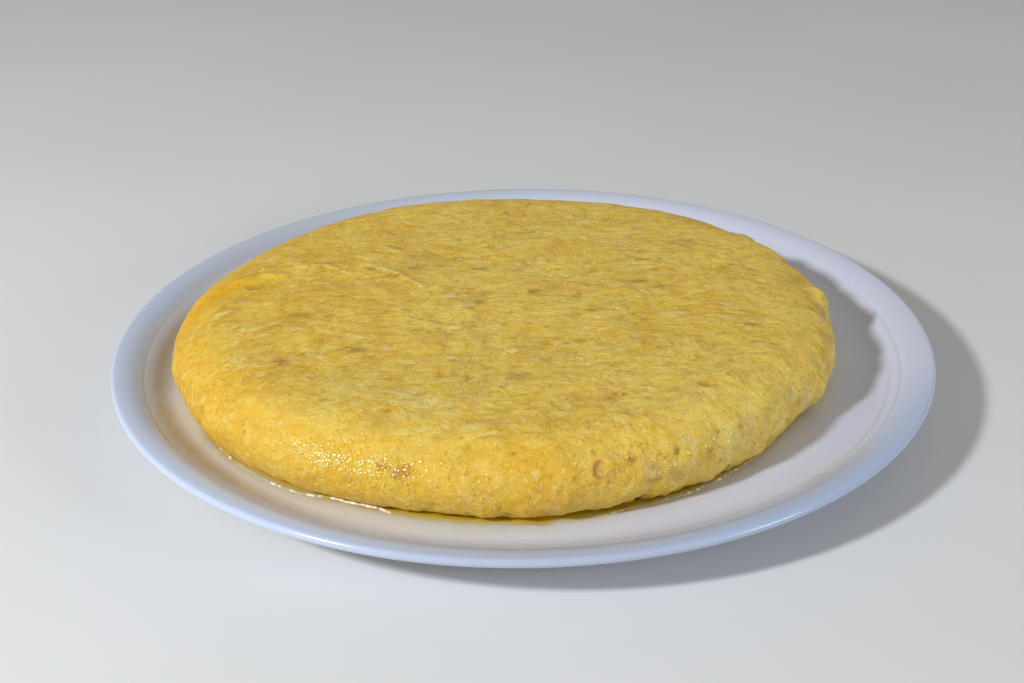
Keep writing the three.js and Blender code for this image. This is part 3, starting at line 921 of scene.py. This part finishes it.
# %% Cooked egg
def egg_material():
    material, shader, place = new_material("cooked egg")
    mark = {name: mark_of(place, name) for name in marks if name != "flow"}
    along = mark_of(place, "flow", 1)
    top, blister, hair_power = mark["on_top"], mark["blister"], mark["hair_power"]
    wet_side = mark["wet"] * (1 - top)

    # Slow changes, from the pan's uneven heat and from what lies under the skin.
    cloud = place.noise(30, 3.0, 0.55).between(0.36, 0.64)
    blush = along.noise((10, 6.5, 7), 5.0, 0.66, 0.6).between(0.50, 0.64)
    olive = (along + (0.2, 0.1, 0.0)).noise((11, 6.5, 7), 5.0, 0.66, 0.6).between(0.51, 0.65)
    gold = (along + (0.1, 0.3, 0.2)).noise((12, 8, 8), 4.0, 0.64, 0.6).between(0.50, 0.63)
    blotch = along.noise((13, 17, 14), 3.0, 0.6, 0.5)

    # Fine grain: soft ripples along the flow on top, and an even mottle on the side.
    ripple = along.noise((5.2, 3.6, 4.0), 6.0, 0.74, 0.7)
    fine_ripple = along.noise((1.5, 1.0, 1.1), 3.0, 0.7, 0.4)
    coarse = top.blend(place.noise(3.0, 6.0, 0.76, 0.5), ripple) - 0.5
    fine = top.blend(place.noise(0.85, 3.0, 0.7, 0.2), fine_ripple) - 0.5
    calm = 1 - wet_side * 0.35
    height = (mark["crest"] * 0.20 + coarse * 3.6 + fine * (2.0 - top * 0.3)) * calm

    # Small wrinkles, where two slow noises agree, drawn as thin bent lines: painted shadow in their
    # folds and a painted highlight on their crests.
    bend = (along + (0.3, 0.2, 0.1)).noise((9.0, 5.0, 6.0), 2.0, 0.5, 0.9) - 0.5
    where = (along + (0.7, 0.2, 0.4)).noise((13, 8, 8), 2.0, 0.5, 0.4)
    wrinkle_shade_line = bend.absolute().between(0.020, 0.004) * where.between(0.54, 0.60) * top
    wrinkle_light_line = (bend - 0.05).absolute().between(0.020, 0.004) * where.between(0.50, 0.42)
    hair_gap = mark["hair"] + (along.noise((7, 5, 6), 4.0, 0.7, 0.5) - 0.5) * 5.0
    broken = place.noise(3.4, 3.0, 0.7).between(0.34, 0.56)
    hair_line = hair_gap.absolute().between(1.5, 0.2) * broken
    raised = hair_power.between(0.0, 1.0)
    hair_shadow = (hair_gap - 1.8).absolute().between(1.6, 0.2) * broken * raised
    hair_crest, hair_crack = hair_line * raised, hair_line * hair_power.between(0.0, -1.0)

    grain = coarse * 2.2 + fine * 1.8
    pores = place.dots(2.8, 0.30, 0.28) * (1 - top * 0.8)
    small_pores = (place + (0.6, 0.1, 0.2)).dots(1.3, 0.20, 0.34) * (1 - top * 0.6)
    painted_glint_flecks = (place + (0.4, 0.1, 0.2)).dots(1.6, 0.04, 0.36)
    potato_colour = cloud.mix(shade(228, 198, 146), shade(212, 176, 136))
    lip_lit_end = place.towards((1.0, 0.0, 0.0)).between(-0.124, -0.098)

    layers = [
        (blush * 0.50, shade(226, 180, 114)),
        (olive * 0.44, shade(214, 182, 54)),
        (gold * 0.60, shade(255, 204, 44)),
        (mark["rich"] * 0.92, shade(244, 183, 6)),
        (blotch.between(0.50, 0.62) * 0.34, shade(214, 170, 62)),
        (blotch.between(0.50, 0.38) * 0.34, shade(255, 224, 104)),
        (wet_side * 0.40, shade(220, 172, 36)),
        ((mark["potato"] + grain * 0.8).between(0.34, 0.80) * 0.50, potato_colour),
        # Pale patches, and painted light on the right side.
        ((mark["paled"] + grain).between(0.34, 0.95) * 0.55, shade(255, 236, 160)),
        ((mark["stained"] + grain).between(0.34, 0.90) * 0.80, shade(180, 138, 42)),
        # Painted light: lighter patches on the right side and at the front left.
        (mark["sunny"] * 0.36, shade(255, 226, 112)),
        (height.between(0.0, 0.85) * 0.95, shade(255, 230, 134)),
        (height.between(0.0, -0.85) * 0.90, shade(212, 152, 46)),
        ((mark["browned"] + grain).between(0.34, 0.86) * 0.80, shade(192, 126, 44)),
        # The fold's lip runs from orange to a paler yellow at its right end; the yellow is partly a
        # painted highlight where its crest is lit.
        (mark["lip"], lip_lit_end.mix(shade(242, 180, 0), shade(255, 208, 66))),
        # Painted highlight and painted shadow of the small wrinkles.
        (wrinkle_light_line * 0.40, shade(255, 232, 150)),
        (wrinkle_shade_line * 0.34, shade(184, 130, 44)),
        (hair_crest * 0.62, shade(255, 230, 136)),
        (hair_shadow * 0.22, shade(186, 132, 40)),
        (hair_crack * 0.55, shade(170, 120, 44)),
        (mark["hollow"] * 0.72, shade(178, 136, 20)),
        (pores.between(0.0, 0.6) * 0.42, shade(180, 132, 36)),
        (small_pores.between(0.0, 0.6) * 0.34, shade(186, 138, 44)),
        # Painted glints: sparse pale dots.
        (painted_glint_flecks.between(0.0, 0.8) * 0.5, shade(255, 240, 190)),
        # Painted shade near the foot, with the darker colour of oil there.
        (mark["skirt"] * 0.30, shade(226, 172, 64)),
    ]
    look = layered(cloud.mix(shade(255, 214, 90), shade(246, 202, 76)), layers)

    # Relief finer than the mesh, in mm. A blister is smooth and wet, so it glitters.
    relief = coarse * 1.0 + fine * 0.40 - pores * 0.14 - small_pores * 0.08
    relief = relief + hair_crest * 0.16 - hair_crack * 0.16 + (wrinkle_light_line - wrinkle_shade_line) * 0.10
    relief = relief * (1 - blister) * calm
    roughness = 0.54 - mark["wet"] * 0.10 + coarse * 0.3
    roughness = (1 - blister) * roughness + blister * 0.14
    bump = place.node("ShaderNodeBump", None, {"Strength": 1.0, "Distance": 0.001, "Height": relief})
    paint(shader, Base_Color=look, Roughness=roughness, Normal=bump, IOR=1.45)
    paint(shader, Subsurface_Weight=0.12, Subsurface_Scale=0.0025, Subsurface_Radius=(1.0, 0.6, 0.2))
    return material


cooked_egg = egg_material()
omelette = add_piece("omelette_round", skin, omelette_faces, cooked_egg, marks)
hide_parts("omelette")

# %% [markdown]
# ## Blisters
#
# At the front left the skin rose in hundreds of tiny blisters, wet with oil, and each gives back
# a point of the lamp. A bump in the material is too fine for the lamp's reflection to be found
# in it reliably, so each blister is real: a shallow cap of a ball, a millimetre or so across,
# sunk a little into the skin. It carries the marks of the skin under it, so that the same
# material gives it the same colour, and only its smoothness differs.

# %% Where the blisters are
# Each cluster is a place on the skin in mm, how far it spreads and how many blisters it has.
BLISTER_CLUSTERS = [
    (-113, -74, 35.5, 6, 24), (-104, -83, 36, 5, 16), (-106, -61, 39.5, 4, 16),
    (-90, -104, 31, 6, 26), (-86, -109, 28, 5, 20), (-77, -114, 31, 6, 50),
    (-68, -115, 34.5, 4.5, 60), (-69, -120, 28.5, 5, 70), (-64, -119, 32.5, 4, 46),
    (-57, -124, 30.5, 4.5, 70), (-56, -116, 37, 4, 20), (-49, -127, 29.5, 3.5, 60),
    (-49, -125, 33, 3, 30), (-41, -128, 31.5, 4.5, 70), (-39, -121.5, 37.5, 4, 30),
    (-28, -129, 33, 7, 70), (-14, -132, 31, 8, 34), (5, -133, 33, 10, 26), (19, -126, 36, 8, 20),
    (28, -114, 39.5, 5, 40), (33, -121, 36, 7, 46), (44, -112, 38, 5, 30), (43, -122, 32, 6, 34),
    (57, -113, 33, 8, 26), (74, -102, 31, 8, 20), (-18, -76, 40, 2, 3), (-118, -56, 37, 8, 16),
]
CAP_SIDES, CAP_RINGS, CAP_SINK = 10, (0.42, 0.78, 1.0), 0.12


def blister_places():
    """The number of a skin point for each blister, with no point used twice."""
    pick = np.random.default_rng(61)
    chosen = []
    for x, y, z, spread, count in BLISTER_CLUSTERS:
        gap = np.linalg.norm(base_skin - (x, y, z), axis=1)
        near = np.flatnonzero(gap < 2.2 * spread)
        weight = bell(gap[near], spread)
        count = min(count, len(near) - 1)
        chosen.append(pick.choice(near, count, replace=False, p=weight / weight.sum()))
    return np.unique(np.concatenate(chosen))


def blister_caps(numbers):
    """Points and faces of a cap at each of these skin points, and the marks it takes."""
    pick = np.random.default_rng(62)
    count = len(numbers)
    up = normals_of(skin, omelette_faces)[numbers]
    side = np.cross(up, (0.0, 0.0, 1.0)) + (1e-6, 0, 0)
    side /= np.linalg.norm(side, axis=1, keepdims=True)
    ahead = np.cross(up, side)
    size = 0.40 + 0.55 * pick.random(count) ** 1.5
    ball = size * pick.uniform(2.4, 4.4, count)  # the radius of the ball that it is cut from
    stretch = pick.uniform(0.9, 1.15, count)
    strayed = pick.uniform(-0.6, 0.6, (2, count, 1))
    middle = skin[numbers] + side * strayed[0] + ahead * strayed[1]
    turn = np.linspace(0, 2 * np.pi, CAP_SIDES, endpoint=False)

    def drop_at(radius):
        """How far below its highest point the ball's surface is, at this radius."""
        return (ball - np.sqrt(ball**2 - radius**2))[:, None]

    rings, drops = [np.zeros((count, 1, 2))], [np.zeros((count, 1))]
    for share in (*CAP_RINGS, CAP_RINGS[-1]):
        flat = np.stack([np.cos(turn), np.sin(turn)], 1)[None] * (share * size)[:, None, None]
        rings.append(flat * np.stack([stretch, 1 / stretch], 1)[:, None, :])
        drops.append(np.repeat(drop_at(share * size), CAP_SIDES, 1))
    right, forward = np.concatenate(rings, 1).transpose(2, 0, 1)[..., None]
    rise = drop_at(size) - np.concatenate(drops, 1)
    rise[:, -CAP_SIDES:] -= CAP_SINK
    offset = right * side[:, None] + forward * ahead[:, None] + rise[..., None] * up[:, None]
    each = offset.shape[1]
    points = (middle[:, None] + offset).reshape(-1, 3)
    faces = [[0, 1 + n, 1 + (n + 1) % CAP_SIDES] for n in range(CAP_SIDES)]
    faces += [face[::-1] for face in band_faces(len(CAP_RINGS) + 1, CAP_SIDES, 1)]
    faces.append(list(range(each - CAP_SIDES, each))[::-1])
    all_faces = [[corner + n * each for corner in face] for n in range(count) for face in faces]
    taken = {name: np.repeat(values[numbers], each, axis=0) for name, values in marks.items()}
    taken["flow"] += offset.reshape(-1, 3) * MM
    taken["blister"] = np.ones(len(points))
    return points, all_faces, taken


blister_numbers = blister_places()
cap_points, cap_faces, cap_marks = blister_caps(blister_numbers)
add_piece("skin_blisters", cap_points, cap_faces, cooked_egg, cap_marks)
print("blisters:", len(blister_numbers))

# %% [markdown]
# ## The oil
#
# Oil that has run out fills the narrow wedge under the egg's curved foot, and lies beyond it as
# a shallow film. At the left the film ends in a steep rounded lip, and a row of glints on it is
# painted white as dashes, over the lip's own shine. In the middle of the front it thins away to a
# haze, which also stands for painted shade and the egg's yellow reflection on the glaze. Deep oil
# is amber and nearly hides the glaze, thin oil is clear, so its colour and its opacity follow the
# distance from the egg.

# %% The crescent of oil
# At headings in degrees: how far its lip lies beyond the foot and how high it stands in the
# wedge, in mm.
OIL_EDGE = [
    (-159, 0.2, 0.5), (-151, 1.5, 0.8), (-146, 2.6, 0.9), (-142, 4.2, 0.8), (-136, 4.9, 0.8),
    (-131, 5.4, 0.8), (-127, 5.1, 0.8), (-123, 3.9, 0.7), (-120, 2.2, 0.5), (-118, 1.6, 0.5),
    (-112, 1.9, 0.5), (-109, 3.6, 0.8), (-105, 6.5, 1.1), (-96, 8.6, 1.15), (-85, 8.0, 1.1),
    (-80, 6.0, 1.1), (-73, 4.2, 1.0), (-66, 4.6, 1.0), (-59, 5.2, 1.0), (-53, 4.6, 0.9),
    (-45, 4.2, 0.8), (-36, 3.6, 0.7), (-26, 2.6, 0.5), (-19, 0.0, 0.3),
]
# Painted glints on the lip, drawn white where it is steep enough to glint: heading and half
# length in degrees, and strength.
PAINTED_GLINT_DASHES = [
    (-145.9, 0.30, 0.8), (-142.3, 0.25, 0.9), (-130.6, 0.4, 1.0), (-129.2, 0.2, 0.8),
    (-126.7, 0.25, 0.8), (-123.2, 0.5, 1.0), (-121.8, 0.2, 0.7), (-119.6, 0.25, 0.9),
    (-114.9, 3.2, 1.0), (-110.4, 0.5, 0.9), (-109.2, 0.3, 0.6), (-72.7, 0.4, 0.4),
    (-63.4, 0.1, 0.35), (-59.0, 0.2, 0.8), (-57.2, 0.25, 0.7), (-56.1, 0.05, 0.4),
    (-53.3, 0.05, 0.5), (-52.3, 0.3, 0.9), (-50.9, 0.1, 0.6), (-49.3, 0.05, 0.4),
    (-48.0, 0.15, 0.6), (-45.5, 0.1, 0.5), (-43.8, 0.05, 0.3),
]
OIL_SECTIONS = 1400
OIL_DEPTH, LIP_WIDTH = 0.34, 0.5
# The haze beyond the lip is thin oil, and also painted shade and the egg's yellow reflection on the
# glaze.
HAZE_DEPTH, HAZE_WIDTH = 0.03, 9.0
UNDER_FOOT, MENISCUS, OVER_GLAZE = 1.5, 0.8, 0.02
FOOT_IN_FROM_BELLY = FOOT_INSET * (1 - math.cos(math.radians(FOOT_ANGLE)))
# Stations across the film: 0 to 1 up to the lip, 1 to 2 round it, 2 to 3 over the haze.
STATIONS = np.concatenate(
    [np.linspace(0, 1, 26), np.linspace(1, 2, 9)[1:], np.linspace(2, 3, 12)[1:]]
)
oil_grain = Grain(51)


def oil_film():
    degrees = np.linspace(OIL_EDGE[0][0], OIL_EDGE[-1][0], OIL_SECTIONS)
    heading = np.radians(degrees)
    ring = ring_places(heading, 130)
    at, lips, climbs = np.array(OIL_EDGE).T
    lip, rise = np.interp(degrees, at, lips), np.interp(degrees, at, climbs)
    fullness = climb(lip, 0, 2)
    lip = lip + fullness * (0.45 * oil_grain.at(ring, 8) + 0.35 * oil_grain.at(ring + 5, 3.2))
    rise = rise * (1 + 0.3 * oil_grain.at(ring + 9, 5))
    # Where a film of that height meets the egg's rounded underside.
    start = FOOT_INSET * np.sqrt(1 - (1 - rise / BELLY_Z) ** 2) - (FOOT_INSET - FOOT_IN_FROM_BELLY)
    start = start + 0.2
    lip = np.maximum(lip, start + LIP_WIDTH)
    sharp = 1 - climb(degrees, -112, -107) * (1 - climb(degrees, -84, -74))

    inside, round_lip, outside = (np.clip(STATIONS - n, 0, 1)[None, :] for n in range(3))
    lip, rise, start, sharp, full = (v[:, None] for v in (lip, rise, start, sharp, fullness))
    beyond = -UNDER_FOOT + inside * (lip - LIP_WIDTH + UNDER_FOOT)
    beyond = beyond + round_lip * LIP_WIDTH + outside * HAZE_WIDTH
    meniscus = rise * np.exp(-(beyond - start).clip(0) / MENISCUS)
    film = OIL_DEPTH * (sharp + (1 - sharp) * (1 - climb(beyond, 1.0, 7.0)))
    height = (film + meniscus) * np.sqrt(1 - round_lip**2)
    height = (height + HAZE_DEPTH * (1 - outside)) * full
    far = belly_at(heading)[:, None] - FOOT_IN_FROM_BELLY + beyond
    east = OMELETTE_MIDDLE[0] + far * np.cos(heading)[:, None]
    north = OMELETTE_MIDDLE[1] + far * np.sin(heading)[:, None]
    points = np.stack([east, north, FLOOR_Z + OVER_GLAZE + height], -1).reshape(-1, 3)
    faces = grid_faces(np.arange(len(points)).reshape(height.shape))
    edge = bell(STATIONS[None, :] - 1.5, 0.7) * sharp
    on_lip = bell(beyond - lip + 0.5 * LIP_WIDTH, 0.30)
    dash = np.zeros(len(degrees))
    for middle, half_length, power in PAINTED_GLINT_DASHES:
        shine = power * (1 - climb(np.abs(degrees - middle), half_length, half_length + 0.25))
        dash = np.maximum(dash, shine)
    marks = {
        "thin": (beyond - start).ravel(),
        "drop": np.repeat(bell(degrees + 85.5, 2.7) + bell(degrees + 141.5, 1.5), len(STATIONS)),
        "edge": edge.ravel(),
        "dash": (on_lip * dash[:, None]).ravel(),
        "shaded": np.repeat(climb(degrees, -82, -62), len(STATIONS)),
        "fade": ((1 - outside**0.7) * full).ravel(),
    }
    return points, faces.tolist(), marks


oil_points, oil_faces, oil_marks = oil_film()
print("oil film:", OIL_SECTIONS, "sections of", len(STATIONS), "points")


# %% Olive oil
# The oil's colour by its distance from the egg, as a share of this many mm.
DEPTH_SCALE = 8.0
OIL_COLOURS = [(0.05, shade(146, 114, 2)), (0.13, shade(184, 152, 36)), (0.24, shade(212, 188, 98))]
OIL_COLOURS += [(0.40, shade(218, 204, 148)), (0.80, shade(220, 212, 184))]


def oil_material():
    material, shader, place = new_material("olive oil")
    names = ("thin", "drop", "edge", "fade", "dash", "shaded")
    thin, drop, edge, fade, dash, shaded = (mark_of(place, name) for name in names)
    uneven = thin + (place.noise(4.0, 3.0, 0.6) - 0.5) * 1.4 - drop * 0.4
    depth = uneven / DEPTH_SCALE
    by_depth = depth.node("ShaderNodeValToRGB", {"stops": OIL_COLOURS}, {"Fac": depth})
    layers = [
        (drop * uneven.between(4.5, 2.0) * 0.6, shade(198, 144, 8)),
        (shaded * uneven.between(2.2, 0.6) * 0.8, shade(112, 84, 2)),
        # Painted glints: white dashes along the lip.
        (dash * 0.9, shade(255, 252, 244)),
    ]
    opacity = 0.20 + uneven.between(6.0, 0.2) ** 1.6 * 0.8 + drop * uneven.between(5.0, 2.0) * 0.12
    opacity = opacity * fade + edge * 0.06 + dash * 0.9
    opacity = opacity.node("ShaderNodeMath", {"operation": "MINIMUM"}, {0: opacity, 1: 1.0})
    paint(shader, Base_Color=layered(by_depth, layers), Alpha=opacity, Roughness=0.16, IOR=1.47)
    return material


oil = add_piece("oil_film", oil_points, oil_faces, oil_material(), oil_marks)
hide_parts("oil")

# %% [markdown]
# ## Light, floor and camera
#
# One small cool lamp stands to the left and a little in front, at about the height of a window,
# and gives the shadow on the right and the glints on the wet shoulder. A large weak lamp in
# front and a pale surrounding light fill the rest, as in a plain studio. The floor is a matte
# pale sheet.

# %% Lamps and surrounding light
def add_lamp(name, azimuth, elevation, distance, size, strength, colour):
    """A round lamp that looks at the omelette. Strength is the light it brings there."""
    turn, rise = math.radians(azimuth), math.radians(elevation)
    way = Vector((math.cos(turn) * math.cos(rise), math.sin(turn) * math.cos(rise), math.sin(rise)))
    data = bpy.data.lights.new(name, "AREA")
    data.shape = "DISK"
    data.size = size
    data.energy = strength * math.pi**2 * distance**2
    data.color = colour
    lamp = bpy.data.objects.new(name, data)
    turn = way.to_track_quat("Z", "Y").to_matrix().to_4x4()
    lamp.matrix_world = Matrix.Translation(way * distance) @ turn
    bpy.context.scene.collection.objects.link(lamp)
    print(f"{name}: {data.energy:.1f} W")


add_lamp("key lamp", 216, 34.5, 1.5, 0.16, 0.81, (0.86, 0.92, 1.0))
add_lamp("front lamp", -30, 16, 1.8, 0.6, 0.30, (0.80, 0.90, 1.0))

world = bpy.data.worlds.new("studio")
bpy.context.scene.world = world
world.use_nodes = True
background = world.node_tree.nodes["Background"]
background.inputs["Color"].default_value = (1.0, 0.98, 0.95, 1.0)
background.inputs["Strength"].default_value = 0.28


# %% The floor
def floor_material():
    material, shader, place = new_material("pale floor")
    cloud = place.noise(220, 3.0, 0.5).between(0.3, 0.7)
    paint(shader, Base_Color=cloud.mix(shade(232, 230, 226), shade(236, 234, 231)), Roughness=0.7)
    return material


FLOOR_HALF = 4000.0
floor_corners = np.array([(-1, -1, 0), (1, -1, 0), (1, 1, 0), (-1, 1, 0)]) * FLOOR_HALF
floor = add_mesh("floor", floor_corners, [[0, 1, 2, 3]])
floor.data.materials.append(floor_material())
print("floor, m across:", round(2 * FLOOR_HALF * MM, 1))

# %% The camera
LENS, SENSOR, NEAREST = 54.61, 36.0, 0.01
CAMERA_PLACE = Vector((-4.19, -572.87, 300.41)) * MM
CAMERA_DOWN, CAMERA_ROLL = 26.443, 0.767
camera_data = bpy.data.cameras.new("camera")
camera_data.lens, camera_data.sensor_width, camera_data.clip_start = LENS, SENSOR, NEAREST
camera = bpy.data.objects.new("camera", camera_data)
tilt = Matrix.Rotation(math.radians(90 - CAMERA_DOWN), 4, "X")
roll = Matrix.Rotation(math.radians(-CAMERA_ROLL), 4, "Z")
camera.matrix_world = Matrix.Translation(CAMERA_PLACE) @ tilt @ roll
bpy.context.scene.collection.objects.link(camera)
bpy.context.scene.camera = camera
bpy.context.scene.view_settings.view_transform = "Standard"
print("camera at", [round(v / MM, 1) for v in CAMERA_PLACE], "mm")

# %% Finish
bpy.context.view_layer.update()
